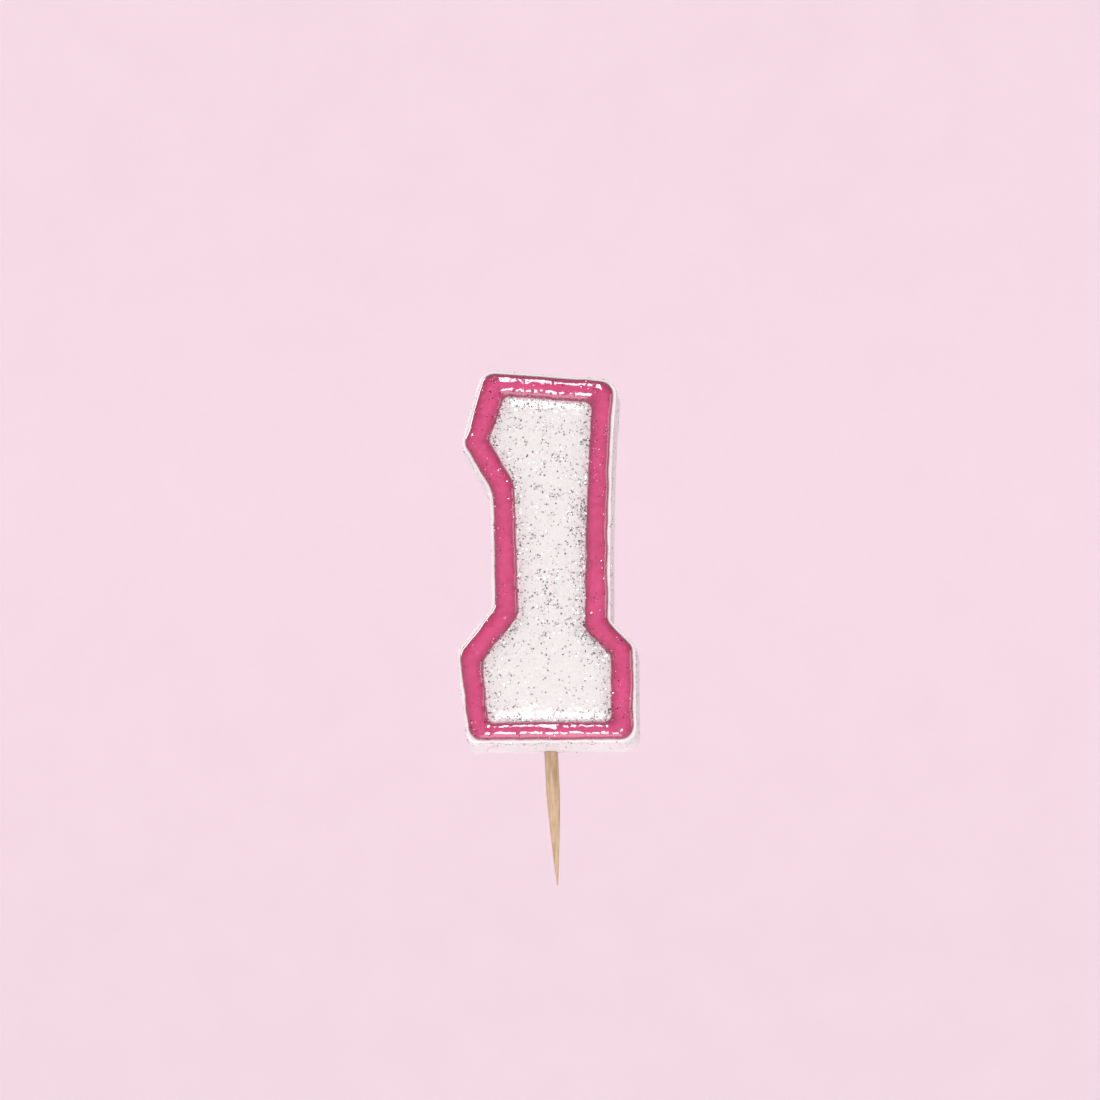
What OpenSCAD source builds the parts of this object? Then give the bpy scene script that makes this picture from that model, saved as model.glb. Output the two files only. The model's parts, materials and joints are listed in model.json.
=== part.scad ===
// Numeral "1" birthday candle: white cast wax with a raised pink bead, a glitter panel, a wick and a wooden pick.
// Millimetres. +Z is up, the numeral's face looks along -Y, and +X is to its right.
// The origin is on the pick's axis, where the pick leaves the wax.

/* [Numeral] */
// Height of the wax numeral at its left top corner, measured on the flat back
numeral_h = 56.3; // [54:0.1:60]
// Thickness of the wax from its flat back to the flat land under the bead
numeral_t = 8.5; // [7:0.1:12]
// How much wider the flat back is than the front, on each side, so that the casting leaves its mould
draft = 0.3; // [0:0.05:1]
// Width of the white lip that shows outside the bead
lip = 0.4; // [0.3:0.05:0.6]
// Rounding of the wax's front edge
edge_r = 0.3; // [0.1:0.05:0.3]

/* [Bead and panel] */
// Height of the bead above the land
bead_h = 1.1; // [0.5:0.1:1.6]
// Depth of the pocket that the panel fills
pocket_depth = 0.6; // [0.3:0.1:1.5]
// How far the panel stands above the land
panel_proud = 0.35; // [0.1:0.05:0.6]
// Distance between neighbouring glitter flakes
flake_pitch = 1.7; // [1.4:0.1:3]
// Radius of the largest glitter flake
flake_r = 0.3; // [0.15:0.05:0.35]
// Thickness of a glitter flake
flake_t = 0.05; // [0.03:0.01:0.1]

/* [Pick] */
// Diameter of the pick where it leaves the wax
pick_d = 2.0; // [1.8:0.1:2.2]
// Length of the pick's straight stretch below the wax
pick_straight = 6; // [4:0.5:10]
// Length of the pick below the wax, with its point
pick_out = 19.8; // [15:0.1:30]
// Length of the pick inside the wax
pick_in = 20; // [12:1:24]
// Sideways lean of the pick, its point towards +X
pick_lean = 2.7; // [0:0.1:4]
// Distance from the pick's axis to the flat back
pick_to_back = 1.6; // [1.5:0.1:3]
// Radial clearance between the socket and the pick's thickest part in it
socket_gap = 0.05; // [0.02:0.01:0.1]

/* [Wick] */
// Diameter of the braided wick
wick_d = 1.0; // [0.8:0.1:1.4]
// Length of the wick's free end, from its fold
wick_free = 8; // [6:0.5:12]
// Distance from the flat back to the middle of the fold
wick_stand_off = 1.1; // [1:0.1:2]
// Height at which the wick leaves the back
wick_exit_z = 52.5; // [40:0.5:53]

/* [Hidden] */
arc_steps = 7;
bead_steps = 8;
edge_steps = 3;
round_fn = 48;
back_y = pick_to_back;
land_y = back_y - numeral_t;
skirt = lip + draft;

// Corners of the bead's outer outline, anticlockwise from the bottom left: across, up, rounding radius.
// Both sides have six corners, because the caps are strips between the left side and the right side.
bead_foot = skirt;
bead_top = numeral_h - skirt;
outer_corners = [
    [-11.6, bead_foot, 2.0],
    [12.4, bead_foot, 2.0],
    [12.3, 14.4, 1.8],
    [8.65, 18.2, 2.0],
    [8.63, 31.0, 200],
    [8.95, 44.0, 120],
    [9.7, bead_top - 1.6, 2.0],
    [-9.6, bead_top, 2.2],
    [-12.5, bead_top - 10.7, 2.0],
    [-8.25, bead_top - 18.0, 8.0],
    [-7.95, 20.2, 3.0],
    [-13.15, 13.7, 2.2]
];

// The same corners on the bead's inner outline, which is the panel's edge.
inner_corners = [
    [-8.95, bead_foot + 2.6, 1.0],
    [9.15, bead_foot + 2.6, 1.0],
    [9.1, 13.2, 1.3],
    [5.35, 17.0, 2.0],
    [5.4, 30.0, 200],
    [5.8, 40.0, 120],
    [6.35, bead_top - 4.6, 1.3],
    [-6.6, bead_top - 3.45, 1.3],
    [-8.9, bead_top - 10.2, 1.4],
    [-5.15, bead_top - 16.8, 5.0],
    [-4.5, 19.4, 2.5],
    [-9.8, 12.4, 1.5]
];

// The wick runs up inside the wax beside the flat back, turns, and leaves through the back as a short stub.
wick_r = wick_d / 2;
wick_bend = 1.2;
wick_foot_z = pick_in + 3;
wick_y = back_y - 1.5;
wick_gap = 0.1;
wick_pivot_y = back_y + wick_stand_off;
wick_stub_y = wick_pivot_y - wick_r - wick_gap;

pick_r = pick_d / 2;
pick_in_r = pick_r - 0.02;
pick_top_r = pick_r - 0.05;
pick_tip_r = 0.1;
pick_tip_steps = 10;
socket_r = pick_in_r + socket_gap;
socket_floor_gap = 0.1;

function unit(v) = v / norm(v);
function turned(v, a) = [v.x * cos(a) - v.y * sin(a), v.x * sin(a) + v.y * cos(a)];

// Points round one filleted corner c between its neighbours a and b, each with its outward normal.
function corner(a, c, b, r) =
    let (u = unit(c - a), w = unit(b - c))
    let (turn = atan2(cross(u, w), u * w))
    let (start = c - u * r * tan(abs(turn) / 2))
    let (side = turn > 0 ? 1 : -1)
    let (centre = start + side * r * [-u.y, u.x])
    [for (k = [0:arc_steps])
        let (a = turn * k / arc_steps)
        [centre + turned(start - centre, a), turned([u.y, -u.x], a)]];

// A whole outline: every corner's points in turn, as pairs of point and normal.
function outline(c) =
    let (n = len(c))
    [for (i = [0:n - 1])
        let (a = c[(i + n - 1) % n], b = c[(i + 1) % n])
        each corner([a.x, a.y], [c[i].x, c[i].y], [b.x, b.y], c[i].z)];

function grown(line, d) = [for (p = line) p[0] + p[1] * d];
function at_y(points, y) = [for (p = points) [p.x, y, p.y]];

outer_line = outline(outer_corners);
inner_line = outline(inner_corners);
outline_n = len(outer_line);

// Triangles between ring a and ring b of n points each.
function band(a, b, n) = [
    for (i = [0:n - 1])
        let (j = (i + 1) % n)
        each [[a * n + i, b * n + j, b * n + i], [a * n + i, a * n + j, b * n + j]]
];

// Triangles that close a ring of n points, as a strip from its bottom edge to its top edge.
function cap(first, n) = [
    for (k = [0:n / 2 - 2])
        let (left = first + (arc_steps - k + n) % n, left_up = first + (arc_steps - k - 1 + n) % n)
        let (right = first + arc_steps + 1 + k)
        each [[left, right + 1, right], [left, left_up, right + 1]]
];

function flipped(faces) = [for (f = faces) [f[0], f[2], f[1]]];

// The drafted wax numeral: each ring is [y, how far it lies outside the bead's outer outline].
wax_rings = [
    for (k = [0:edge_steps])
        let (a = 90 * k / edge_steps)
        [land_y + edge_r * (1 - cos(a)), lip - edge_r * (1 - sin(a))],
    for (k = [0:edge_steps])
        let (a = 90 * k / edge_steps)
        [back_y - edge_r * (1 - sin(a)), skirt - edge_r * (1 - cos(a))]
];

module wax_blank() {
    n = outline_n;
    m = len(wax_rings);
    polyhedron(
        points = [for (r = wax_rings) each at_y(grown(outer_line, r[1]), r[0])],
        faces = [
            each cap(0, n),
            for (k = [0:m - 2]) each band(k, k + 1, n),
            each flipped(cap((m - 1) * n, n))
        ]
    );
}

// The panel's outline as a plate from y = from to y = to.
module panel_plate(from, to) {
    translate([0, to, 0])
        rotate([90, 0, 0])
            linear_extrude(height = to - from)
                polygon(grown(inner_line, 0));
}

// The wick's path with radius r: up beside the back, a quarter turn, and out to y = end_y.
module wick_path(r, foot_z, end_y) {
    bend_z = wick_exit_z - wick_bend;
    translate([0, wick_y - wick_bend, foot_z])
        cylinder(r = r, h = bend_z - foot_z, $fn = round_fn);
    translate([0, wick_y, bend_z])
        rotate([90, 0, 90])
            rotate([0, 0, 90])
                rotate_extrude(angle = 90, $fn = round_fn)
                    translate([wick_bend, 0])
                        circle(r = r, $fn = round_fn);
    translate([0, wick_y, wick_exit_z])
        rotate([-90, 0, 0])
            cylinder(r = r, h = end_y - wick_y, $fn = round_fn);
}

module on_pick_axis() {
    rotate([0, -pick_lean, 0]) children();
}

module wax_body() {
    over = 1;
    color("ivory")
        difference() {
            wax_blank();
            panel_plate(land_y - over, land_y + pocket_depth);
            on_pick_axis()
                translate([0, 0, -over])
                    cylinder(r = socket_r, h = pick_in + socket_floor_gap + over, $fn = round_fn);
            wick_path(wick_r, wick_foot_z, back_y + over);
        }
}

// The bead's section is half an ellipse that stands on the land between the two outlines.
module border_bead() {
    n = outline_n;
    m = bead_steps + 1;
    color([0.83, 0.29, 0.50])
        polyhedron(
            points = [
                for (k = [0:bead_steps])
                    let (a = 180 * k / bead_steps, t = (1 - cos(a)) / 2)
                    for (i = [0:n - 1])
                        let (p = outer_line[i][0] * (1 - t) + inner_line[i][0] * t)
                        [p.x, land_y - bead_h * sin(a), p.y]
            ],
            faces = [for (k = [0:m - 1]) each band((k + 1) % m, k, n)]
        );
}

module glitter_panel() {
    color([0.94, 0.92, 0.91])
        panel_plate(land_y - panel_proud, land_y + pocket_depth);
}

// One field of flakes inside a rectangle, each shifted and turned a little by the seed.
module flake_field(x0, x1, z0, z1, seed) {
    columns = floor((x1 - x0) / flake_pitch);
    rows = floor((z1 - z0) / flake_pitch);
    shake = rands(-1, 1, 4 * (columns + 1) * (rows + 1), seed);
    for (i = [0:columns], j = [0:rows]) {
        k = 4 * (i * (rows + 1) + j);
        x = x0 + (i + j % 2 / 2) * flake_pitch + shake[k] * 0.25 * flake_pitch;
        z = z0 + j * flake_pitch + shake[k + 1] * 0.25 * flake_pitch;
        translate([x, land_y - panel_proud, z])
            rotate([90, 30 * shake[k + 2], 0])
                cylinder(r = flake_r * (0.8 + 0.2 * shake[k + 3]), h = flake_t, $fn = 6);
    }
}

module glitter_flakes() {
    color([0.72, 0.72, 0.74]) {
        flake_field(-7.6, 7.6, bead_foot + 4, 11.5, 3);
        flake_field(-3.4, 3.5, 14.0, bead_top - 6.6, 8);
    }
}

module wick() {
    color([0.93, 0.90, 0.82])
        wick_path(wick_r, wick_foot_z, wick_stub_y);
}

// The free end hangs folded down behind the back, from a round knuckle that it swings out and up about.
module wick_end() {
    color([0.93, 0.90, 0.82])
        translate([0, wick_pivot_y, wick_exit_z]) {
            sphere(r = wick_r, $fn = round_fn);
            translate([0, 0, -wick_free])
                cylinder(r = wick_r, h = wick_free, $fn = round_fn);
        }
}

// The pick's profile, from its point up: a point that narrows faster towards its end, then the straight stretch.
function pick_profile() = [
    [0, -pick_out],
    for (k = [0:pick_tip_steps - 1])
        let (t = 1 - k / pick_tip_steps)
        [pick_r - (pick_r - pick_tip_r) * pow(t, 1.3), -pick_straight - t * (pick_out - pick_straight)],
    [pick_r, -pick_straight],
    [pick_r, 0],
    [pick_in_r, 0],
    [pick_top_r, pick_in - 0.2],
    [pick_top_r - 0.2, pick_in],
    [0, pick_in]
];

module wood_pick() {
    color("burlywood")
        on_pick_axis()
            rotate_extrude($fn = round_fn)
                polygon(pick_profile());
}

wax_body();
border_bead();
glitter_panel();
glitter_flakes();
wick();
wick_end();
wood_pick();
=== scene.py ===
"""Numeral "1" birthday candle: white wax, a raised pink bead, a glitter panel, a wick and a wooden pick."""

import json
import math

import bmesh
import bpy
import numpy as np
from mathutils import Matrix, Vector, noise


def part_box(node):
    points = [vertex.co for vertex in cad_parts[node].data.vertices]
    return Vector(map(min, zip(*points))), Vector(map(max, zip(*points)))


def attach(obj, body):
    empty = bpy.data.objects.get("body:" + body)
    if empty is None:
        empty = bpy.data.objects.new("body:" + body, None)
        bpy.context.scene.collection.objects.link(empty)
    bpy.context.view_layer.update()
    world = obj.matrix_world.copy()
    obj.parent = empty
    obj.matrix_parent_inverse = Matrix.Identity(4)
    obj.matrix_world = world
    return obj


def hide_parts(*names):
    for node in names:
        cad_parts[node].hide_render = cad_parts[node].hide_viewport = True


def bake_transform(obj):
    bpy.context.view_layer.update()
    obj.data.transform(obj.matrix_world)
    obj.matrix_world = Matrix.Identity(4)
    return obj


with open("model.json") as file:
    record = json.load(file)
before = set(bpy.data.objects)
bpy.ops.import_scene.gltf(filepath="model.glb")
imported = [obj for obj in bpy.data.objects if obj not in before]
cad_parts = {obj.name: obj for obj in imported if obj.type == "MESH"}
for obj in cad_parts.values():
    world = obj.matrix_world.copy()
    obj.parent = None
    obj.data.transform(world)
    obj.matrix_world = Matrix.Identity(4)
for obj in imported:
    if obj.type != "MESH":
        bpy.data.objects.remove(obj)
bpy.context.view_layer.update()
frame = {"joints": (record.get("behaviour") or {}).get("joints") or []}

MM = 0.001

# ---------------------------------------------------------------- sizes, in millimetres, as in the CAD model

wax_low, wax_high = (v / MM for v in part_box("wax_body"))
bead_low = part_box("border_bead")[0] / MM
panel_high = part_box("glitter_panel")[1] / MM
joints = {j["name"]: j for j in frame["joints"]}

BACK_Y = wax_high.y            # the poured back
LAND_Y = wax_low.y             # the front, where the bead lies
POCKET_Y = panel_high.y        # the floor of the pocket under the panel
BEAD_H = LAND_Y - bead_low.y
NUMERAL_H = 56.3               # the wax's height up to its top left corner, before that is rounded
SKIRT = bead_low.z - wax_low.z  # how far the wax reaches out past the bead at the back
BEAD_FOOT = SKIRT
BEAD_TOP = NUMERAL_H - SKIRT
LIP = 0.4                      # and at the front
EDGE_R = 0.3                   # rounding of the wax's front and back edges

PICK_R = 1.0
PICK_TIP_R = 0.1
PICK_STRAIGHT = 6.0            # length below the wax before the pick starts to narrow
PICK_OUT = 19.8                # length outside the wax, down to the point
PICK_IN = 20.0                 # length inside the wax
SOCKET_R = 1.03
UP_THE_PICK = Vector(joints["pull_off_pick"]["axis"]).normalized()
ACROSS_THE_PICK = Vector((UP_THE_PICK.z, 0, -UP_THE_PICK.x))

FOLD = Vector(joints["wick_fold"]["pos_m"]) / MM
WICK_R = 0.5
WICK_FREE = 8.0                # how far below the fold the wick's tip hangs
FOLD_R = 1.0                   # radius of the bend outside the back
WICK_Y = -1.1                  # depth of the upright part inside the wax
WICK_BEND = 1.2                # radius of the bend inside the wax
WICK_FOOT_Z = PICK_IN + 3      # where the wick starts, above the pick
WICK_SPLIT_Y = 0.6             # where its buried part ends and its free part begins

# The bead's outer outline and the panel's edge, anticlockwise from the bottom left: across, up, rounding.
OUTER = [
    (-11.6, BEAD_FOOT, 2.0), (12.4, BEAD_FOOT, 2.0), (12.3, 14.4, 1.8), (8.65, 18.2, 2.0),
    (8.63, 31.0, 200.0), (8.95, 44.0, 120.0), (9.7, BEAD_TOP - 1.6, 2.0), (-9.6, BEAD_TOP, 2.2),
    (-12.5, BEAD_TOP - 10.7, 2.0), (-8.25, BEAD_TOP - 18.0, 8.0), (-7.95, 20.2, 3.0), (-13.15, 13.7, 2.2),
]
INNER = [
    (-8.95, BEAD_FOOT + 2.6, 1.0), (9.15, BEAD_FOOT + 2.6, 1.0), (9.1, 13.2, 1.3), (5.35, 17.0, 2.0),
    (5.4, 30.0, 200.0), (5.8, 40.0, 120.0), (6.35, BEAD_TOP - 4.6, 1.3), (-6.6, BEAD_TOP - 3.45, 1.3),
    (-8.9, BEAD_TOP - 10.2, 1.4), (-5.15, BEAD_TOP - 16.8, 5.0), (-4.5, 19.4, 2.5), (-9.8, 12.4, 1.5),
]
WALL_CORNERS = [0.7, 1.7]      # the walls' two bottom corners are rounded less than the bead's
RUNGS = 6                      # each side has this many corners
POINT_STEP = 0.17              # spacing of the points along an outline
ARC_POINTS = 14                # steps round each corner
ACROSS = 120                   # steps along the bottom and the top edge


# ---------------------------------------------------------------- helpers

def relief(points, size, height, seed):
    """Smooth unevenness, up to height either way, at each point; size is the grain of the noise."""
    shift = Vector((seed * 7.3, seed * 3.1, seed * 5.7))
    return height * np.array([noise.noise(Vector(p) / size + shift) for p in points])


def layered(points, layers):
    """Several reliefs on top of each other; each layer is (size, height, seed)."""
    return sum(relief(points, *layer) for layer in layers)


def add_object(name, points, faces, smooth=True):
    """A mesh object from points in millimetres."""
    mesh = bpy.data.meshes.new(name)
    corners = [tuple(p) for p in np.asarray(points) * MM]
    mesh.from_pydata(corners, [], [tuple(int(i) for i in f) for f in faces])
    mesh.validate()
    bm = bmesh.new()
    bm.from_mesh(mesh)
    bmesh.ops.remove_doubles(bm, verts=bm.verts, dist=1e-7)
    bmesh.ops.recalc_face_normals(bm, faces=bm.faces)
    bm.to_mesh(mesh)
    bm.free()
    obj = bpy.data.objects.new(name, mesh)
    bpy.context.scene.collection.objects.link(obj)
    if smooth:
        mesh.shade_smooth()
    return obj


def grid_faces(rows, columns, start=0, flip=False):
    """Quads of a grid whose points run row by row."""
    quads = []
    for i in range(rows - 1):
        for j in range(columns - 1):
            a = start + i * columns + j
            quad = (a, a + 1, a + columns + 1, a + columns)
            quads.append(quad[::-1] if flip else quad)
    return quads


def ring_faces(rings, n):
    """Quads between closed rings of n points each."""
    quads = []
    for k in range(rings - 1):
        for i in range(n):
            j = (i + 1) % n
            quads.append((k * n + i, k * n + j, (k + 1) * n + j, (k + 1) * n + i))
    return quads


def shifted(faces, start):
    """The same faces, for points that begin at start."""
    return [tuple(start + i for i in f) for f in faces]


# ---------------------------------------------------------------- outlines

def turned(v, angle):
    """A flat vector turned anticlockwise."""
    c, s = math.cos(angle), math.sin(angle)
    return np.array([v[0] * c - v[1] * s, v[0] * s + v[1] * c])


def fillet(corners, i):
    """Start, centre, turn and first normal of the arc at corner i."""
    before, here, after = corners[i - 1], corners[i], corners[(i + 1) % len(corners)]
    c = np.array(here[:2])
    u = c - np.array(before[:2])
    w = np.array(after[:2]) - c
    u /= np.linalg.norm(u)
    w /= np.linalg.norm(w)
    turn = math.atan2(u[0] * w[1] - u[1] * w[0], u @ w)
    start = c - u * here[2] * math.tan(abs(turn) / 2)
    centre = start + math.copysign(here[2], turn) * np.array([-u[1], u[0]])
    return start, centre, turn, np.array([u[1], -u[0]])


def straight_counts():
    """Steps along each straight stretch: the same on the left as on the right, and on both outlines."""
    n = len(OUTER)
    length = [math.dist(OUTER[i][:2], OUTER[(i + 1) % n][:2]) for i in range(n)]
    counts = [ACROSS] * n
    for k in range(1, RUNGS):
        left = n - k
        counts[k] = counts[left] = max(4, round(max(length[k], length[left]) / POINT_STEP))
    return counts


def outline(corners):
    """Points and outward normals round an outline, closely and evenly spaced."""
    points, normals = [], []
    n = len(corners)
    counts = straight_counts()
    for i in range(n):
        start, centre, turn, normal = fillet(corners, i)
        for k in range(ARC_POINTS + 1):
            a = turn * k / ARC_POINTS
            points.append(centre + turned(start - centre, a))
            normals.append(turned(normal, a))
        end = points[-1]
        following = fillet(corners, (i + 1) % n)[0]
        for k in range(1, counts[i]):
            points.append(end + (following - end) * k / counts[i])
            normals.append(normals[-1])
    return np.array(points), np.array(normals)


def face_grid(line):
    """Points over the whole of an outline, in rows of ACROSS + 1 from its left side to its right side."""
    rows = (len(line) - 2 * (ACROSS - 1)) // 2
    first_right = ARC_POINTS + ACROSS
    top_right = first_right + rows - 1
    share = np.linspace(0, 1, ACROSS + 1)[:, None]
    grid = [line[ARC_POINTS:first_right + 1]]
    for k in range(1, rows - 1):
        grid.append(line[(ARC_POINTS - k) % len(line)] * (1 - share) + line[first_right + k] * share)
    grid.append(line[top_right:top_right + ACROSS + 1][::-1])
    return np.array(grid)


def distance_to(line, points):
    """Distance from each point to the nearest point of a closed line."""
    found = np.empty(len(points))
    for k in range(0, len(points), 2000):
        gap = points[k:k + 2000, None, :] - line[None, :, :]
        found[k:k + 2000] = np.sqrt((gap ** 2).sum(2)).min(1)
    return found


def at_y(line, y):
    """Points of the face's plane, set at depth y."""
    return np.column_stack([line[:, 0], np.broadcast_to(y, len(line)), line[:, 1]])


outer_line, outer_normals = outline(OUTER)
inner_line, inner_normals = outline(INNER)
wall_line, wall_normals = outline([(c[0], c[1], r) for c, r in zip(OUTER, WALL_CORNERS)] + OUTER[2:])
RING = len(outer_line)


# ---------------------------------------------------------------- the wax numeral

WALL_STEPS = 26
EDGE_STEPS = 7
SETTLE = 1.0         # the walls' ripple sets in over this depth behind the front
SINK = 0.2           # how far the poured back shrank in its middle
SINK_WIDTH = 2.0
OVER_PICK = 0.1      # how far it stands up over the pick
DRAWN_UP = 0.26      # and round the wick
RIDGE_WIDTH = 1.5    # of the ridge over the pick
DRAWN_WIDTH = 0.55   # and of the wax drawn up round the wick
BACK_CALM = 0.8      # its roughness sets in over this distance from its edge
COLLAR_H = 0.16      # the rim pushed up round the pick
COLLAR_WIDTH = 0.55
HOLE_SIDES = 64
PAST_PICK = 0.1      # the socket reaches this far past the pick's top
PITS = 30
PIT_ACROSS = (-11, 11)
PIT_UP = (2, 53)
PIT_RADIUS = (0.2, 0.3)        # the smallest, and how much larger the largest is
PIT_DEPTH = 0.6                # as a share of its radius
PIT_CLEAR = (2.5, 3)           # none lie this near the pick's middle line, up to this far above its top
# Unevenness: size, height and seed of each layer.
WALL_WAVES = (3.2, 0.06, 1)
WALL_RIPPLE = (2.1, 0.04, 2)
BACK_SWELL = [(6.0, 0.14, 3), (1.5, 0.03, 4)]
BACK_DRAG = (2.2, 0.04, 18)    # marks drawn out up the back


def wax_profile():
    """The wall from the land round to the back: depth y, and how far it lies outside the bead's outline."""
    quarter = [math.pi / 2 * k / EDGE_STEPS for k in range(EDGE_STEPS + 1)]
    front = [(LAND_Y + EDGE_R * (1 - math.cos(a)), LIP - EDGE_R * (1 - math.sin(a))) for a in quarter]
    back = [(BACK_Y - EDGE_R * (1 - math.sin(a)), SKIRT - EDGE_R * (1 - math.cos(a))) for a in quarter]
    (y0, d0), (y1, d1) = front[-1], back[0]
    share = [k / WALL_STEPS for k in range(1, WALL_STEPS)]
    return front + [(y0 + (y1 - y0) * t, d0 + (d1 - d0) * t) for t in share] + back


def wall_rings():
    """Rings from the land round the lip and back along the walls, a little uneven as cast wax is."""
    uneven = relief(at_y(wall_line, 0), *WALL_WAVES)
    rings = [at_y(outer_line, LAND_Y)]
    for y, out in wax_profile():
        ripple = relief(at_y(wall_line, y), *WALL_RIPPLE) * min(1.0, max(0.0, (y - LAND_Y) / SETTLE))
        rings.append(at_y(wall_line + wall_normals * (out + uneven + ripple)[:, None], y))
    return rings


def pits(p):
    """Depth of the round pits that air bubbles left in the poured back, none of them over the socket."""
    chance = np.random.default_rng(41)
    depth = np.zeros(len(p))
    for _ in range(PITS):
        x, z = chance.uniform(*PIT_ACROSS), chance.uniform(*PIT_UP)
        radius = PIT_RADIUS[0] + PIT_RADIUS[1] * chance.uniform() ** 2
        away = np.hypot(p[:, 0] - x, p[:, 1] - z) / radius
        if abs(x) > PIT_CLEAR[0] or z > PICK_IN + PIT_CLEAR[1]:
            depth = np.maximum(depth, PIT_DEPTH * radius * np.clip(1 - away ** 2, 0, 1))
    return depth


def back_depth(p, from_edge):
    """Depth of the poured back: sunk where it shrank, rough, pitted, raised over the pick and at the wick."""
    sunk = SINK * (1 - np.exp(-from_edge / SINK_WIDTH))
    beside_pick = p[:, 0] - p[:, 1] * UP_THE_PICK.x / UP_THE_PICK.z
    over_pick = np.exp(-(beside_pick / RIDGE_WIDTH) ** 2) * np.clip((PICK_IN + 2 - p[:, 1]) / 3, 0, 1)
    rough = layered(at_y(p, 0), BACK_SWELL) + relief(at_y(p * np.array([1.0, 0.35]), 0), *BACK_DRAG)
    rough = rough * (1 - 0.6 * over_pick) + OVER_PICK * over_pick
    from_wick = np.hypot(p[:, 0], p[:, 1] - FOLD.z) - WICK_R
    drawn_up = DRAWN_UP * np.exp(-(np.maximum(from_wick, 0) / DRAWN_WIDTH) ** 2)
    return BACK_Y - sunk + (rough - pits(p)) * np.clip(from_edge / BACK_CALM, 0, 1) + drawn_up


def cutter(name, start, end, radius):
    """A round bar used only to cut a hole, then removed."""
    axis = end - start
    bpy.ops.mesh.primitive_cylinder_add(vertices=HOLE_SIDES, radius=radius * MM, depth=axis.length * MM)
    bar = bpy.context.object
    bar.name = name
    turn = axis.to_track_quat("Z", "Y").to_matrix().to_4x4()
    bar.matrix_world = Matrix.Translation((start + end) / 2 * MM) @ turn
    return bar


def cut(obj, bars):
    """Cuts the bars out of obj for good."""
    for bar in bars:
        hole = obj.modifiers.new("hole", "BOOLEAN")
        hole.operation = "DIFFERENCE"
        hole.solver = "EXACT"
        hole.object = bar
    bpy.context.view_layer.update()
    solid = bpy.data.meshes.new_from_object(obj.evaluated_get(bpy.context.evaluated_depsgraph_get()))
    obj.modifiers.clear()
    obj.data = solid
    solid.shade_smooth()
    for bar in bars:
        bpy.data.objects.remove(bar)


def raise_collar(body):
    """A low rim of wax round the pick, where it was pushed in."""
    for v in body.data.vertices:
        x, y, z = v.co / MM
        if z < 0.5:
            from_pick = math.hypot(x, y) - PICK_R
            v.co.z -= COLLAR_H * MM * math.exp(-(from_pick / COLLAR_WIDTH) ** 2)


def make_wax():
    """The cast body: a pocket for the panel, a land under the bead, the walls and the poured back."""
    pocket_grid = face_grid(inner_line)
    rows, columns = pocket_grid.shape[:2]
    walls = wall_rings()
    back_line = walls[-1][:, [0, 2]]
    back = face_grid(back_line).reshape(-1, 2)

    points = [at_y(pocket_grid.reshape(-1, 2), POCKET_Y)]
    faces = grid_faces(rows, columns)
    rim = [at_y(inner_line, POCKET_Y), at_y(inner_line, LAND_Y)]
    land = [at_y(inner_line, LAND_Y), at_y(outer_line, LAND_Y)]
    for rings in (rim, land, walls):
        start = sum(len(p) for p in points)
        points += rings
        faces += shifted(ring_faces(len(rings), RING), start)
    start = sum(len(p) for p in points)
    points.append(at_y(back, back_depth(back, distance_to(back_line, back))))
    faces += grid_faces(rows, columns, start, flip=True)

    body = add_object("wax_numeral", np.vstack(points), faces)
    raise_collar(body)
    cut(body, [
        cutter("socket", UP_THE_PICK * -2, UP_THE_PICK * (PICK_IN + PAST_PICK), SOCKET_R),
        cutter("wick_hole", Vector((0, -1, FOLD.z)), Vector((0, BACK_Y + 1, FOLD.z)), WICK_R - 0.1),
    ])
    return body


# ---------------------------------------------------------------- the bead and the panel

BEAD_STEPS = 44
BEAD_SUNK = 0.05     # the bead's foot sits this far down in the wax
BEAD_LAP = 0.06      # and its inner edge laps this far over the panel
BEAD_POWER = 2.3     # 2 would be a half round; more is fuller
PANEL_RISE = 0.68    # the panel's middle stands this far in front of its edge
PANEL_ROUND = 1.15   # width of its rounded edge
PANEL_CALM = 0.5     # its lumps set in over this distance from its edge
UNDER_PANEL = 0.01   # the slab's back lies this far in front of the pocket's floor
# Unevenness: size, height and seed of each layer.
OUTER_WAVES = [(2.6, 0.13, 5), (0.9, 0.05, 6)]
INNER_WAVES = [(2.2, 0.15, 7), (0.8, 0.06, 8)]
BEAD_LUMPS = [(2.4, 0.065, 9), (0.75, 0.045, 10)]
PANEL_LUMPS = [(1.7, 0.05, 11), (0.55, 0.035, 12)]


def make_bead():
    """The raised border: a rounded, slightly lumpy section carried round between the two outlines."""
    flat_outer = np.column_stack([outer_line, np.zeros(RING)])
    flat_inner = np.column_stack([inner_line, np.zeros(RING)])
    push_outer = layered(flat_outer, OUTER_WAVES)
    push_inner = layered(flat_inner, INNER_WAVES) - BEAD_LAP
    outside = outer_line + outer_normals * push_outer[:, None]
    inside = inner_line + inner_normals * push_inner[:, None]
    rings = []
    for k in range(BEAD_STEPS + 1):
        a = math.pi * k / BEAD_STEPS
        t = (1 - math.cos(a)) / 2
        height = (1 - abs(math.cos(a)) ** BEAD_POWER) ** (1 / BEAD_POWER)
        place = outside * (1 - t) + inside * t
        lumps = layered(at_y(place, 0), BEAD_LUMPS)
        rings.append(at_y(place, LAND_Y + BEAD_SUNK - (BEAD_H + BEAD_SUNK) * height * (1 + lumps)))
    last = BEAD_STEPS * RING
    foot = [(i, last + i, last + (i + 1) % RING, (i + 1) % RING) for i in range(RING)]
    return add_object("pink_bead", np.vstack(rings), ring_faces(len(rings), RING) + foot)


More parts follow.
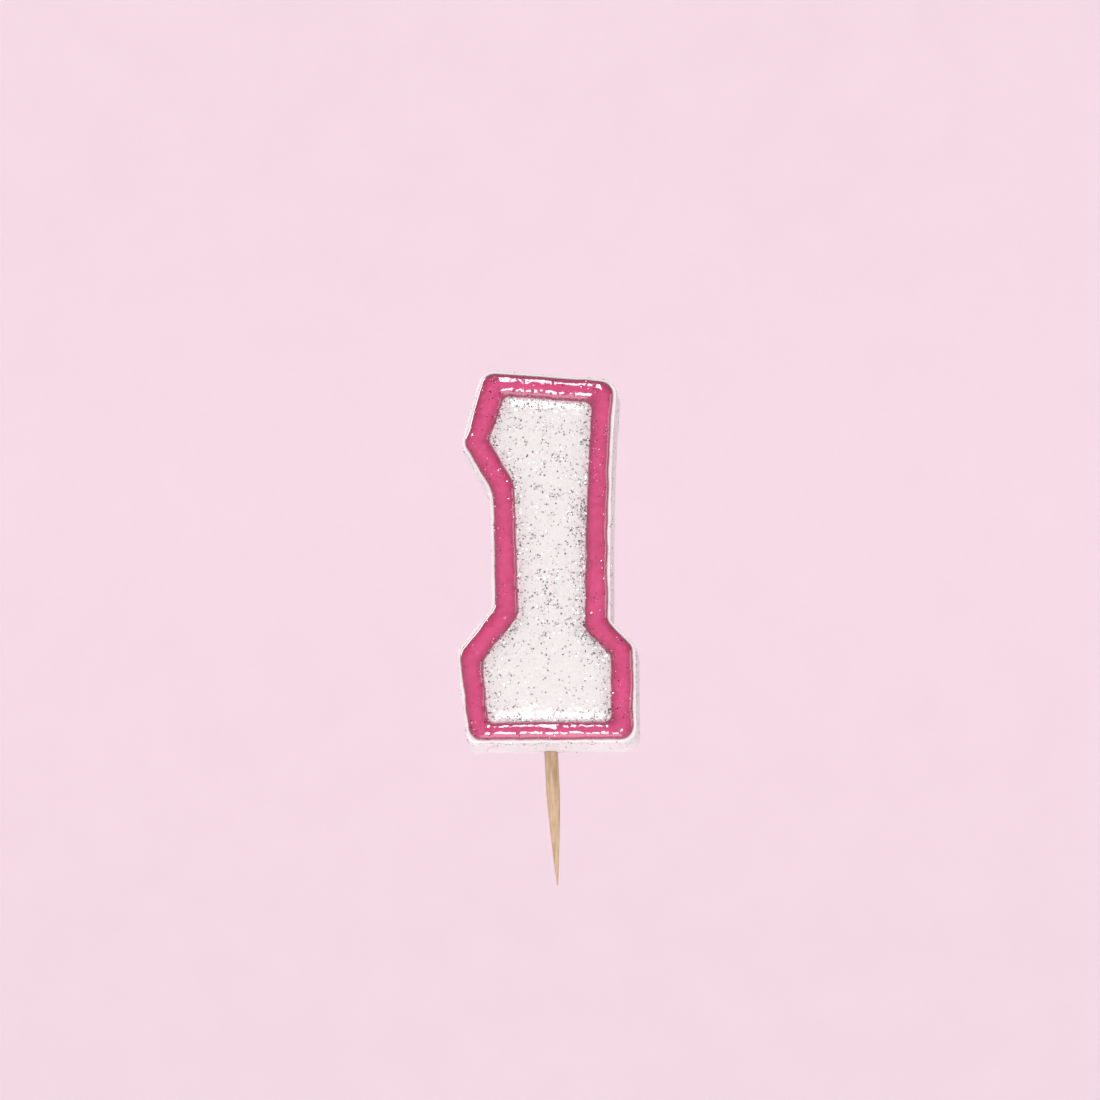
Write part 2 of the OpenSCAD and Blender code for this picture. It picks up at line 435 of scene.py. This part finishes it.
def panel_height(p, from_edge):
    """Depth of the panel's face: it rises from the foot of the bead to a softly pillowed middle."""
    rise = 1 - np.exp(-from_edge / PANEL_ROUND)
    lumps = layered(at_y(p, 0), PANEL_LUMPS) * np.clip(from_edge / PANEL_CALM, 0, 1)
    return LAND_Y - PANEL_RISE * rise - lumps


def make_panel():
    """The glitter panel: a gel slab that fills the pocket."""
    grid = face_grid(inner_line)
    rows, columns = grid.shape[:2]
    flat = grid.reshape(-1, 2)
    top = at_y(flat, panel_height(flat, distance_to(inner_line, flat)))
    floor = at_y(flat, POCKET_Y - UNDER_PANEL)
    rim = [at_y(inner_line, LAND_Y), at_y(inner_line, POCKET_Y - UNDER_PANEL)]
    faces = grid_faces(rows, columns, flip=True) + grid_faces(rows, columns, len(top))
    faces += shifted(ring_faces(2, RING), 2 * len(top))
    return add_object("gel_panel", np.vstack([top, floor] + rim), faces)


# ---------------------------------------------------------------- glitter

FLAKE_THICK = 0.03
FLAKE_FACES = [tuple(range(6)), tuple(range(11, 5, -1))] + [
    (k, k + 6, (k + 1) % 6 + 6, (k + 1) % 6) for k in range(6)
]
BEAD_MIDDLE = 1.4    # distance from the panel's edge to the bead's crown
edge_line = inner_line[::3]    # a thinner line, close enough for the odds below
# How many flakes, smallest and largest radius, tilt and seed.
PANEL_FLAKES = (2800, (0.05, 0.19), 0.33, 21)
BEAD_FLAKES = (640, (0.05, 0.14), 0.3, 22)
WALL_FLAKES = (1000, (0.05, 0.17), 0.3, 23)
# Clusters: size, height and seed.
PANEL_CLUSTERS = (1.5, 2.0, 16)
BEAD_CLUSTERS = (3.0, 2.0, 17)
WALL_CLUSTERS = (1.8, 2.0, 19)


def flake_points(centre, normal, radius, spin):
    """Corners of one six-sided flake, front ring and back ring."""
    side = normal.orthogonal().normalized()
    up = normal.cross(side)
    ring = [side * math.cos(spin + math.pi / 3 * k) + up * math.sin(spin + math.pi / 3 * k) for k in range(6)]
    return [centre + v * radius + normal * h for h in (FLAKE_THICK / 2, -FLAKE_THICK / 2) for v in ring]


def face_samples(obj, wanted, weight, seed):
    """Random places on an object's faces, with their normals; weight says how likely each face is."""
    chance = np.random.default_rng(seed)
    faces = obj.data.polygons
    centres = np.array([f.center for f in faces]) / MM
    normals = np.array([f.normal for f in faces])
    odds = np.array([f.area for f in faces]) * weight(centres, normals)
    samples = []
    for index in chance.choice(len(faces), size=wanted, p=odds / odds.sum(), replace=False):
        corners = [obj.data.vertices[v].co / MM for v in faces[index].vertices]
        k = chance.integers(len(corners))
        rim = corners[k - 1].lerp(corners[k], chance.uniform())
        samples.append((Vector(centres[index]).lerp(rim, math.sqrt(chance.uniform())), faces[index].normal))
    return samples


def add_flakes(name, obj, weight, wanted, sizes, tilt, seed):
    """One object of many loose flakes spread over obj, each with its own size, spin and tilt."""
    chance = np.random.default_rng(seed + 10)
    low, high = sizes
    points, faces = [], []
    for place, normal in face_samples(obj, wanted, weight, seed):
        lean = normal + Vector(chance.normal(0, tilt, 3))
        radius = low + (high - low) * chance.uniform() ** 1.7
        faces += shifted(FLAKE_FACES, len(points))
        points += flake_points(place, lean.normalized(), radius, chance.uniform(0, math.pi / 3))
    return add_object(name, points, faces, smooth=False)


def panel_odds(centres, normals):
    """Flakes lie on the panel's face in clusters, thicker near its edges and thinner over the foot."""
    from_edge = distance_to(edge_line, centres[:, [0, 2]])
    on_face = (normals[:, 1] < -0.5) * (from_edge > 0.15)
    clusters = np.clip(relief(centres, *PANEL_CLUSTERS) + 0.25, 0, 1) ** 2
    over_foot = np.clip((17 - centres[:, 2]) / 4, 0, 1)
    stem_side = (centres[:, 0] > 2) * (np.abs(centres[:, 2] - 25) < 12)
    spread = (0.12 + 0.75 * clusters) * (1 - 0.5 * over_foot)
    return on_face * (spread + (1.2 + 1.5 * stem_side) * np.exp(-from_edge / 0.9))


def bead_odds(centres, normals):
    """Flakes lie in clusters along the bead, more of them to either side of its crown."""
    clusters = np.clip(relief(centres, *BEAD_CLUSTERS), 0, 1)
    from_crown = np.abs(distance_to(edge_line, centres[:, [0, 2]]) - BEAD_MIDDLE)
    return (normals[:, 1] < -0.2) * (0.15 + clusters) * (0.5 + from_crown)


def wall_odds(centres, normals):
    """Flakes caught in the walls and the lip, more near the front, on the right and underneath."""
    on_wall = (np.abs(normals[:, 1]) < 0.8) * (distance_to(edge_line, centres[:, [0, 2]]) > 1.0)
    off_pick = np.hypot(centres[:, 0], centres[:, 1]) > 1.3
    toward_front = np.exp(-(centres[:, 1] - LAND_Y) / 2.2)
    favoured = 1 + 2.0 * (normals[:, 0] > 0.3) + 3.5 * (normals[:, 2] < -0.3)
    clusters = 0.25 + np.clip(relief(centres, *WALL_CLUSTERS), 0, 1)
    return on_wall * off_pick * toward_front * favoured * clusters


# ---------------------------------------------------------------- the pick

PICK_SIDES = 72
PICK_STEP = 0.3
PICK_TAPER = 1.3     # 1 would be a straight cone; more is fuller
BEVEL_LONG = 0.25    # the bevel round the pick's top end
BEVEL_DEEP = 0.2
POINT_LONG = 0.04    # the small cone that closes the point
# Unevenness: size, height and seed of each layer.
WOOD_FIBRES = [(0.32, 0.016, 13), (0.9, 0.012, 14)]
KNIFE_CUTS = (0.8, 0.03, 15)


def pick_radius(along):
    """Radius of the pick at a place on its axis, counted up from where it leaves the wax."""
    if along >= 0:
        return PICK_R - 0.02 - 0.03 * along / PICK_IN
    past = (-along - PICK_STRAIGHT) / (PICK_OUT - PICK_STRAIGHT)
    return PICK_R - (PICK_R - PICK_TIP_R) * max(0.0, past) ** PICK_TAPER


def pick_grain(along, turns):
    """How far fibres and knife cuts push the pick's surface out at each turn round it."""
    by_fibre = [(2.2 * math.cos(a) + along * 0.02, 2.2 * math.sin(a), along * 0.045) for a in turns]
    by_cut = [(math.cos(a), math.sin(a), along * 0.2) for a in turns]
    carved = min(1.0, max(0.2, (-along - PICK_STRAIGHT) / 5))
    return layered(by_fibre, WOOD_FIBRES) + relief(by_cut, *KNIFE_CUTS) * carved


def make_pick():
    """A turned and sharpened wooden pick, with its fibres standing up a little along it."""
    stops = [-PICK_OUT + PICK_STEP * k for k in range(int((PICK_OUT + PICK_IN) / PICK_STEP))]
    stops += [PICK_IN - BEVEL_LONG, PICK_IN]
    turns = [2 * math.pi * k / PICK_SIDES for k in range(PICK_SIDES)]
    ways = [ACROSS_THE_PICK * math.cos(a) - Vector((0, 1, 0)) * math.sin(a) for a in turns]
    points = []
    for along in stops:
        radius = pick_radius(along) - (BEVEL_DEEP if along == PICK_IN else 0)
        for way, bump in zip(ways, pick_grain(along, turns) * min(1.0, radius / PICK_R)):
            points.append(UP_THE_PICK * along + way * (radius + bump))
    tip = len(points)
    last = tip - PICK_SIDES
    points += [UP_THE_PICK * (-PICK_OUT - POINT_LONG), UP_THE_PICK * PICK_IN]
    faces = ring_faces(len(stops), PICK_SIDES)
    for k in range(PICK_SIDES):
        following = (k + 1) % PICK_SIDES
        faces.append((following, k, tip))
        faces.append((last + k, last + following, tip + 1))
    return add_object("pointed_pick", points, faces)


# ---------------------------------------------------------------- the wick

STRANDS = 8
STRAND_R = 0.15
BRAID_R = 0.32       # distance of a strand's middle from the wick's middle
BRAID_WEAVE = 0.045  # how far a strand moves in and out as it passes the others
BRAID_TURN = 3.4     # length over which a strand winds round once
TUBE_SIDES = 10
FRAY = 0.12          # how far the strands stand apart at the tip
FRAY_LONG = 0.9
RISE_STEP = 0.4      # spacing of a path's points up inside the wax
OUT_STEP = 0.15      # from there out to the split
FREE_STEP = 0.1      # from the split to the fold
HANG_STEP = 0.12     # and down behind the back
INSIDE_BEND = [math.pi / 2 * k / 10 for k in range(11)]
OUTSIDE_BEND = [math.pi / 2 * k / 16 for k in range(17)]


def wick_inside_path():
    """Up inside the wax, round a bend and out towards the back's surface."""
    rise = [Vector((0, WICK_Y, z)) for z in np.arange(WICK_FOOT_Z, FOLD.z - WICK_BEND, RISE_STEP)]
    centre = Vector((0, WICK_Y + WICK_BEND, FOLD.z - WICK_BEND))
    arc = [centre + Vector((0, -math.cos(a), math.sin(a))) * WICK_BEND for a in INSIDE_BEND]
    depths = np.arange(WICK_Y + WICK_BEND + OUT_STEP, WICK_SPLIT_Y + FREE_STEP, OUT_STEP)
    return rise + arc + [Vector((0, y, FOLD.z)) for y in depths]


def wick_free_path():
    """Out of the back, over in a bend and down behind the back to the frayed tip."""
    bend_y = FOLD.y - FOLD_R
    way_out = [Vector((0, y, FOLD.z)) for y in np.arange(WICK_SPLIT_Y, bend_y, FREE_STEP)]
    centre = Vector((0, bend_y, FOLD.z - FOLD_R))
    arc = [centre + Vector((0, math.sin(a), math.cos(a))) * FOLD_R for a in OUTSIDE_BEND]
    heights = np.arange(FOLD.z - FOLD_R - HANG_STEP, FOLD.z - WICK_FREE, -HANG_STEP)
    hang = [Vector((0, FOLD.y, z)) for z in heights]
    return way_out + arc + hang + [Vector((0, FOLD.y, FOLD.z - WICK_FREE))]


def directions(path):
    """The direction of travel at each point of a path."""
    ahead = path[1:] + [path[-1] * 2 - path[-2]]
    behind = [path[0] * 2 - path[1]] + path[:-1]
    return [(a - b).normalized() for a, b in zip(ahead, behind)]


def tube(path, radii):
    """Points and faces of a closed tube round a path."""
    points = []
    ways = directions(path)
    side = ways[0].orthogonal().normalized()
    for place, way, radius in zip(path, ways, radii):
        side = (side - way * side.dot(way)).normalized()
        up = way.cross(side)
        for k in range(TUBE_SIDES):
            a = 2 * math.pi * k / TUBE_SIDES
            points.append(place + (side * math.cos(a) + up * math.sin(a)) * radius)
    last = (len(path) - 1) * TUBE_SIDES
    ends = [tuple(reversed(range(TUBE_SIDES))), tuple(range(last, last + TUBE_SIDES))]
    return points, ring_faces(len(path), TUBE_SIDES) + ends


def strand_path(k, path, lengths, fray):
    """Where strand k runs: round the path one way or the other, over and under the rest, loose at the end."""
    hand = 1 if k % 2 else -1
    phase = 2 * math.pi * (k // 2) / (STRANDS / 2)
    across = Vector((1, 0, 0))
    strand = []
    for place, way, s in zip(path, directions(path), lengths):
        a = phase + hand * 2 * math.pi * s / BRAID_TURN
        loose = fray * max(0.0, (s - lengths[-1] + FRAY_LONG) / FRAY_LONG) ** 2
        weave = BRAID_WEAVE * hand * math.cos(STRANDS / 2 * a)
        reach = BRAID_R + weave + loose * (1 + 0.5 * math.sin(3.0 * k))
        strand.append(place + (across * math.cos(a) + way.cross(across) * math.sin(a)) * reach)
    trim = (k * 3) % 5 if fray else 0
    return strand[:len(strand) - trim]


def braid(name, path, fray=0.0):
    """Strands that wind both ways round a path and pass over and under each other."""
    lengths = [0.0]
    for a, b in zip(path, path[1:]):
        lengths.append(lengths[-1] + (b - a).length)
    thinner = [0.35 * fray * max(0.0, (s - lengths[-1] + 0.5) / 0.5) for s in lengths]
    tubes = [tube(path, [BRAID_R * 0.8] * len(path))]
    for k in range(STRANDS):
        strand = strand_path(k, path, lengths, fray)
        tubes.append(tube(strand, [STRAND_R * (1 - t) for t in thinner[:len(strand)]]))
    points, faces = [], []
    for more_points, more_faces in tubes:
        faces += shifted(more_faces, len(points))
        points += more_points
    return add_object(name, points, faces)


# ---------------------------------------------------------------- materials

def new_material(name, constants):
    """A node material and its shader; constants are the values that are the same all over the surface."""
    material = bpy.data.materials.new(name)
    material.use_nodes = True
    shader = material.node_tree.nodes["Principled BSDF"]
    for key, value in constants.items():
        shader.inputs[key].default_value = value
    return material, shader


def set_input(material, node, key, value):
    """Sets an input to a value, or links it to another node's output."""
    socket = node.inputs[key]
    if isinstance(value, bpy.types.NodeSocket):
        material.node_tree.links.new(value, socket)
    else:
        socket.default_value = value


def add_node(material, kind, **inputs):
    """Adds a node; each input is a value, or another node's output to link."""
    node = material.node_tree.nodes.new(kind)
    for key, value in inputs.items():
        set_input(material, node, key.replace("_", " "), value)
    return node


def place_coordinate(material):
    """The place on the object in metres, so that every size below is a real size."""
    return add_node(material, "ShaderNodeTexCoord").outputs["Object"]


def stretched(material, vector, scale):
    """The coordinate scaled, so that a pattern on it is drawn out where scale is small."""
    return add_node(material, "ShaderNodeMapping", Vector=vector, Scale=scale).outputs["Vector"]


def grain(material, vector, size, detail=2.0, roughness=0.5, distortion=0.0):
    """Noise whose grain is size millimetres."""
    node = add_node(
        material, "ShaderNodeTexNoise", Vector=vector, Scale=1 / (size * MM),
        Detail=detail, Roughness=roughness, Distortion=distortion,
    )
    return node.outputs["Fac"]


def specks(material, vector, size):
    """Distance to the nearest of many scattered points, size millimetres apart."""
    node = add_node(material, "ShaderNodeTexVoronoi", Vector=vector, Scale=1 / (size * MM))
    return node.outputs["Distance"]


def ramp(material, factor, stops):
    """A colour ramp from (position, colour) pairs."""
    node = add_node(material, "ShaderNodeValToRGB", Fac=factor)
    elements = node.color_ramp.elements
    while len(elements) < len(stops):
        elements.new(1.0)
    for element, (position, colour) in zip(elements, stops):
        element.position = position
        element.color = (*colour, 1.0)
    return node.outputs["Color"]


def remap(material, value, low, high, to_low, to_high):
    """The value's range from low to high, stretched to another range."""
    node = add_node(
        material, "ShaderNodeMapRange", Value=value,
        From_Min=low, From_Max=high, To_Min=to_low, To_Max=to_high,
    )
    return node.outputs["Result"]


def mixed(material, factor, a, b, blend="MIX"):
    """Two colours mixed; each is a colour or another node's output."""
    node = material.node_tree.nodes.new("ShaderNodeMix")
    node.data_type = "RGBA"
    node.blend_type = blend
    for index, value in ((0, factor), (6, a), (7, b)):
        set_input(material, node, index, (*value, 1.0) if isinstance(value, tuple) else value)
    return node.outputs[2]


def bumped(material, height, depth, normal=None):
    """A bump depth millimetres deep, on top of another bump if there is one."""
    node = add_node(material, "ShaderNodeBump", Height=height, Distance=depth * MM, Strength=1.0)
    if normal is not None:
        set_input(material, node, "Normal", normal)
    return node.outputs["Normal"]


def depth_coordinate(material, vector):
    """Depth y in metres, which on the bead and the panel says how far up the rounded face a point is."""
    return add_node(material, "ShaderNodeSeparateXYZ", Vector=vector).outputs["Y"]


def wax_material():
    """White candle wax: satin, milky and faintly mottled."""
    material, shader = new_material("white_wax", {
        "Subsurface Weight": 0.25, "Subsurface Radius": (1.0, 0.7, 0.6), "Subsurface Scale": 1.2 * MM,
        "IOR": 1.44, "Coat Weight": 0.15, "Coat Roughness": 0.25,
    })
    where = place_coordinate(material)
    mottle = grain(material, where, 6.0, 3.0)
    fine = grain(material, where, 0.35, 4.0, 0.6)
    soft = bumped(material, grain(material, where, 1.4, 3.0), 0.06)
    colour = ramp(material, mottle, [(0.3, (0.625, 0.62, 0.61)), (0.7, (0.695, 0.69, 0.68))])
    set_input(material, shader, "Base Color", colour)
    set_input(material, shader, "Roughness", remap(material, fine, 0.3, 0.7, 0.3, 0.46))
    set_input(material, shader, "Normal", bumped(material, fine, 0.02, soft))
    return material


def pink_material():
    """Pink wax gel: glossy, with painted shade that darkens it down its steep flanks to its two edges and a
    painted sheen that lightens its crown.
    """
    material, shader = new_material("pink_wax", {
        "Subsurface Weight": 0.15, "Subsurface Radius": (1.0, 0.25, 0.4), "Subsurface Scale": 0.6 * MM,
        "IOR": 1.45, "Coat Weight": 1.0, "Coat Roughness": 0.06, "Coat IOR": 1.65,
    })
    where = place_coordinate(material)
    uneven = remap(material, grain(material, where, 1.1, 2.0), 0.2, 0.8, -0.10 * MM, 0.10 * MM)
    shaken = add_node(material, "ShaderNodeMath")
    set_input(material, shaken, 0, depth_coordinate(material, where))
    set_input(material, shaken, 1, uneven)
    height = remap(material, shaken.outputs[0], LAND_Y * MM, (LAND_Y - BEAD_H) * MM, 0.0, 1.0)
    # painted shade and sheen: the pink is darkest at the bead's foot, deepens down both flanks and is
    # lightest on the crown, as light falls on the rounded bead
    painted_shade_by_height = ramp(material, height, [
        (0.0, (0.25, 0.004, 0.054)), (0.6, (0.29, 0.006, 0.066)),
        (0.87, (0.42, 0.020, 0.115)), (1.0, (0.505, 0.034, 0.143)),
    ])
    patch = grain(material, where, 3.0, 3.0)
    cloud = ramp(material, patch, [(0.3, (0.84, 0.72, 0.79)), (0.7, (1.0, 1.0, 1.0))])
    fine = grain(material, where, 0.45, 3.0, 0.55)
    set_input(material, shader, "Base Color", mixed(material, 1.0, painted_shade_by_height, cloud, "MULTIPLY"))
    set_input(material, shader, "Roughness", remap(material, fine, 0.3, 0.7, 0.10, 0.2))
    set_input(material, shader, "Normal", bumped(material, fine, 0.009))
    return material


def gel_material():
    """Milky gel with glitter dust in it; its rounded edge carries painted shade, with a pale painted rim and
    painted pink light reflected from the bead at the bead's foot.
    """
    material, shader = new_material("glitter_gel", {
        "Subsurface Weight": 0.3, "Subsurface Radius": (1.0, 0.8, 0.8), "Subsurface Scale": 0.8 * MM,
        "IOR": 1.45, "Coat Weight": 0.5, "Coat Roughness": 0.12, "Coat IOR": 1.6,
    })
    where = place_coordinate(material)
    depth = depth_coordinate(material, where)
    middle = remap(material, depth, (LAND_Y - 0.05) * MM, (LAND_Y - PANEL_RISE) * MM, 0.0, 1.0)
    # painted light on the rounded edge: pale pink at the bead's foot for a painted rim highlight and painted
    # pink light reflected from the bead, then painted shade where the edge rounds down, a little lighter on
    # the flat middle
    painted_edge_light = ramp(material, middle, [
        (0.0, (0.84, 0.69, 0.73)), (0.14, (0.76, 0.70, 0.71)), (0.3, (0.59, 0.565, 0.56)),
        (0.6, (0.59, 0.585, 0.57)), (1.0, (0.62, 0.62, 0.60)),
    ])
    dust_mask = ramp(material, specks(material, where, 0.42), [(0.10, (1, 1, 1)), (0.24, (0, 0, 0))])
    patch = ramp(material, grain(material, where, 2.4, 2.0), [(0.42, (0, 0, 0)), (0.62, (0.55, 0.55, 0.55))])
    dusty = mixed(material, 1.0, dust_mask, patch, "MULTIPLY")
    fine = grain(material, where, 0.4, 3.0, 0.6)
    broad = bumped(material, grain(material, where, 0.9, 2.0), 0.05)
    set_input(material, shader, "Base Color", mixed(material, dusty, painted_edge_light, (0.40, 0.38, 0.39)))
    set_input(material, shader, "Roughness", remap(material, fine, 0.3, 0.7, 0.16, 0.32))
    set_input(material, shader, "Normal", bumped(material, fine, 0.03, broad))
    return material


def glitter_material(name, dark, bright, share_dark):
    """Cut foil: each flake has its own random shade between dark and bright, painted shade and painted glint
    that stand in for flakes turned from the light and flakes catching it.
    """
    material, shader = new_material(name, {"Metallic": 1.0})
    chance = add_node(material, "ShaderNodeNewGeometry").outputs["Random Per Island"]
    middle = tuple((d + b) / 2 for d, b in zip(dark, bright))
    # painted shade and glint: dark flakes stand for foil turned from the light, bright ones for foil catching
    # it
    colour = ramp(material, chance, [
        (0.0, dark), (share_dark, dark), (share_dark + 0.12, middle), (1.0, bright),
    ])
    scuff = grain(material, place_coordinate(material), 0.12, 2.0)
    set_input(material, shader, "Base Color", colour)
    set_input(material, shader, "Roughness", remap(material, scuff, 0.3, 0.7, 0.16, 0.34))
    set_input(material, shader, "Normal", bumped(material, scuff, 0.008))
    return material


def cotton_material():
    """Waxed cotton: off-white thread with fine fibres along each strand."""
    material, shader = new_material("cotton", {"Subsurface Weight": 0.1, "Subsurface Scale": 0.3 * MM})
    where = place_coordinate(material)
    fibres = grain(material, where, 0.09, 4.0, 0.7, 0.6)
    tone = mixed(material, fibres, (0.72, 0.67, 0.58), (0.90, 0.87, 0.80))
    patch = grain(material, where, 1.6, 2.0)
    waxed = ramp(material, patch, [(0.4, (0.92, 0.91, 0.88)), (0.65, (1.0, 1.0, 1.0))])
    set_input(material, shader, "Base Color", mixed(material, 1.0, tone, waxed, "MULTIPLY"))
    set_input(material, shader, "Roughness", remap(material, fibres, 0.3, 0.7, 0.55, 0.8))
    set_input(material, shader, "Normal", bumped(material, fibres, 0.03))
    return material


def wood_material():
    """Pale birch: long fibres, darker pores and streaks that run along the pick."""
    material, shader = new_material("pick_wood", {"Specular IOR Level": 0.35})
    where = place_coordinate(material)
    fibres = grain(material, stretched(material, where, (1.0, 1.0, 0.06)), 0.16, 4.0, 0.65)
    streaks = grain(material, stretched(material, where, (1.0, 1.0, 0.12)), 0.8, 3.0, 0.6, 0.4)
    base = ramp(material, streaks, [
        (0.28, (0.31, 0.215, 0.12)), (0.45, (0.43, 0.32, 0.19)),
        (0.62, (0.52, 0.395, 0.25)), (0.8, (0.61, 0.475, 0.325)),
    ])
    pores = ramp(material, fibres, [(0.30, (0.62, 0.52, 0.42)), (0.46, (1.0, 1.0, 1.0))])
    set_input(material, shader, "Base Color", mixed(material, 0.8, base, pores, "MULTIPLY"))
    set_input(material, shader, "Roughness", remap(material, fibres, 0.3, 0.7, 0.6, 0.45))
    set_input(material, shader, "Normal", bumped(material, fibres, 0.03))
    return material


# ---------------------------------------------------------------- build the candle

def finish_piece(obj, material, body=None, nodes=()):
    """Gives a piece its material, puts it on the body it rides on and hides the CAD nodes it stands in for.
    """
    obj.data.materials.clear()
    obj.data.materials.append(material)
    if body:
        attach(obj, body)
    if nodes:
        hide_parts(*nodes)


def build_numeral():
    """The wax, the bead, the panel and the glitter on all three."""
    wax = make_wax()
    bead = make_bead()
    panel = make_panel()
    finish_piece(wax, wax_material(), "numeral", ["wax_body"])
    finish_piece(bead, pink_material(), "numeral", ["border_bead"])
    finish_piece(panel, gel_material(), "numeral", ["glitter_panel"])

    # the dark and bright flake shades are painted shade and painted glint
    silver = glitter_material("silver_flakes", (0.30, 0.28, 0.29), (0.97, 0.97, 0.98), 0.52)
    rose = glitter_material("rose_flakes", (0.17, 0.012, 0.05), (0.97, 0.80, 0.87), 0.5)
    panel_flakes = add_flakes("panel_flakes", panel, panel_odds, *PANEL_FLAKES)
    bead_flakes = add_flakes("bead_flakes", bead, bead_odds, *BEAD_FLAKES)
    wall_flakes = add_flakes("wall_flakes", wax, wall_odds, *WALL_FLAKES)
    finish_piece(panel_flakes, silver, "numeral", ["glitter_flakes"])
    finish_piece(bead_flakes, rose, "numeral")
    finish_piece(wall_flakes, silver, "numeral")


def build_wick():
    """The buried wick, and its free end, which bends where it leaves the back."""
    cotton = cotton_material()
    wick_core = braid("wick_core", wick_inside_path())
    wick_free = braid("wick_free", wick_free_path(), FRAY)
    finish_piece(wick_core, cotton, "numeral", ["wick"])
    finish_piece(wick_free, cotton, nodes=["wick_end"])
    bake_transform(wick_free)


build_numeral()
build_wick()
finish_piece(make_pick(), wood_material(), "pick", ["wood_pick"])


# ---------------------------------------------------------------- stage, lights and camera: metres, degrees

VIEW_AZIMUTH = 2.7
VIEW_ELEVATION = -10.2
FRAME_WIDTH = 0.1617           # width of the view at the candle
LENS = 200
SENSOR = 36
AIM = Vector((0.15, LAND_Y, 28.9)) * MM

STAGE_COLOURS = [(0.3, (0.90, 0.76, 0.82)), (0.7, (0.92, 0.78, 0.84))]
STAGE_GLOW = 0.28              # lifts the backdrop, which the lights near the candle don't reach
STAGE_SIDES = 96
FLOOR_Z = -0.45
FLOOR_R = 2.2
FLOOR_RINGS = 12
CURVE_R = 1.1                  # the floor's curve up into the wall
WALL_TOP = 1.6

# name, azimuth, elevation, distance, width, height, watts
LIGHTS = [
    ("upper_strip", 0, 42, 0.9, 0.2, 0.40, 3.1),
    ("lower_strip", 0, -22, 0.9, 0.2, 0.36, 2.8),
    ("lower_fill", 0, -60, 0.45, 0.3, 0.3, 0.5),
    ("side_light", 80, 5, 1.2, 0.5, 0.5, 1.3),
    ("back_light", 240, 32, 1.2, 0.6, 0.6, 7.0),
]
LIGHT_COLOUR = (0.97, 1.0, 0.99)
ROOM_COLOUR = (0.98, 1.0, 0.99, 1.0)
ROOM_STRENGTH = 0.5


def seen_from(azimuth, elevation):
    """Unit vector towards an azimuth and elevation: azimuth 0 is -Y, and it grows towards +X."""
    a, e = math.radians(azimuth), math.radians(elevation)
    return Vector((math.sin(a) * math.cos(e), -math.cos(a) * math.cos(e), math.sin(e)))


def look_at_candle(obj, azimuth, elevation, distance):
    """Puts a light or the camera round the candle, looking at its middle."""
    obj.location = AIM + seen_from(azimuth, elevation) * distance
    obj.rotation_euler = (AIM - obj.location).to_track_quat("-Z", "Y").to_euler()
    bpy.context.scene.collection.objects.link(obj)


def make_stage():
    """A wide floor that curves up into a wall all round, so that there is no horizon line."""
    curve = np.linspace(0.05, math.pi / 2, 24)
    profile = [(FLOOR_R * k / FLOOR_RINGS, 0.0) for k in range(1, FLOOR_RINGS + 1)]
    profile += [(FLOOR_R + CURVE_R * math.sin(a), CURVE_R * (1 - math.cos(a))) for a in curve]
    profile.append((FLOOR_R + CURVE_R, WALL_TOP))
    turns = [2 * math.pi * k / STAGE_SIDES for k in range(STAGE_SIDES)]
    points = [(0, 0, FLOOR_Z)]
    for r, z in profile:
        points += [(r * math.cos(a), r * math.sin(a), FLOOR_Z + z) for a in turns]
    faces = [(0, k + 1, (k + 1) % STAGE_SIDES + 1) for k in range(STAGE_SIDES)]
    faces += shifted(ring_faces(len(profile), STAGE_SIDES), 1)
    floor = add_object("studio_floor", np.array(points) / MM, faces)

    material, shader = new_material("studio_paper", {
        "Roughness": 0.9, "Specular IOR Level": 0.1,
        "Emission Color": (*STAGE_COLOURS[0][1], 1.0), "Emission Strength": STAGE_GLOW,
    })
    paper = grain(material, place_coordinate(material), 40.0, 2.0)
    set_input(material, shader, "Base Color", ramp(material, paper, STAGE_COLOURS))
    floor.data.materials.append(material)


def make_lights():
    """Two strips in front, above and below the view, softer lights under, beside and behind, a lit room."""
    for name, azimuth, elevation, distance, width, height, power in LIGHTS:
        lamp = bpy.data.lights.new(name, "AREA")
        lamp.shape = "RECTANGLE"
        lamp.size = width
        lamp.size_y = height
        lamp.energy = power
        lamp.color = LIGHT_COLOUR
        light = bpy.data.objects.new(name, lamp)
        light.visible_camera = False
        look_at_candle(light, azimuth, elevation, distance)
    world = bpy.data.worlds.new("studio")
    world.use_nodes = True
    background = world.node_tree.nodes["Background"]
    background.inputs["Color"].default_value = ROOM_COLOUR
    background.inputs["Strength"].default_value = ROOM_STRENGTH
    bpy.context.scene.world = world


def make_camera():
    """The camera at the photograph's viewing angle, far off, with a long lens."""
    lens = bpy.data.cameras.new("camera")
    lens.lens = LENS
    lens.sensor_width = SENSOR
    lens.clip_end = 50
    camera = bpy.data.objects.new("camera", lens)
    look_at_candle(camera, VIEW_AZIMUTH, VIEW_ELEVATION, FRAME_WIDTH * LENS / SENSOR)
    bpy.context.scene.camera = camera


make_stage()
make_lights()
make_camera()
bpy.context.scene.view_settings.view_transform = "Standard"
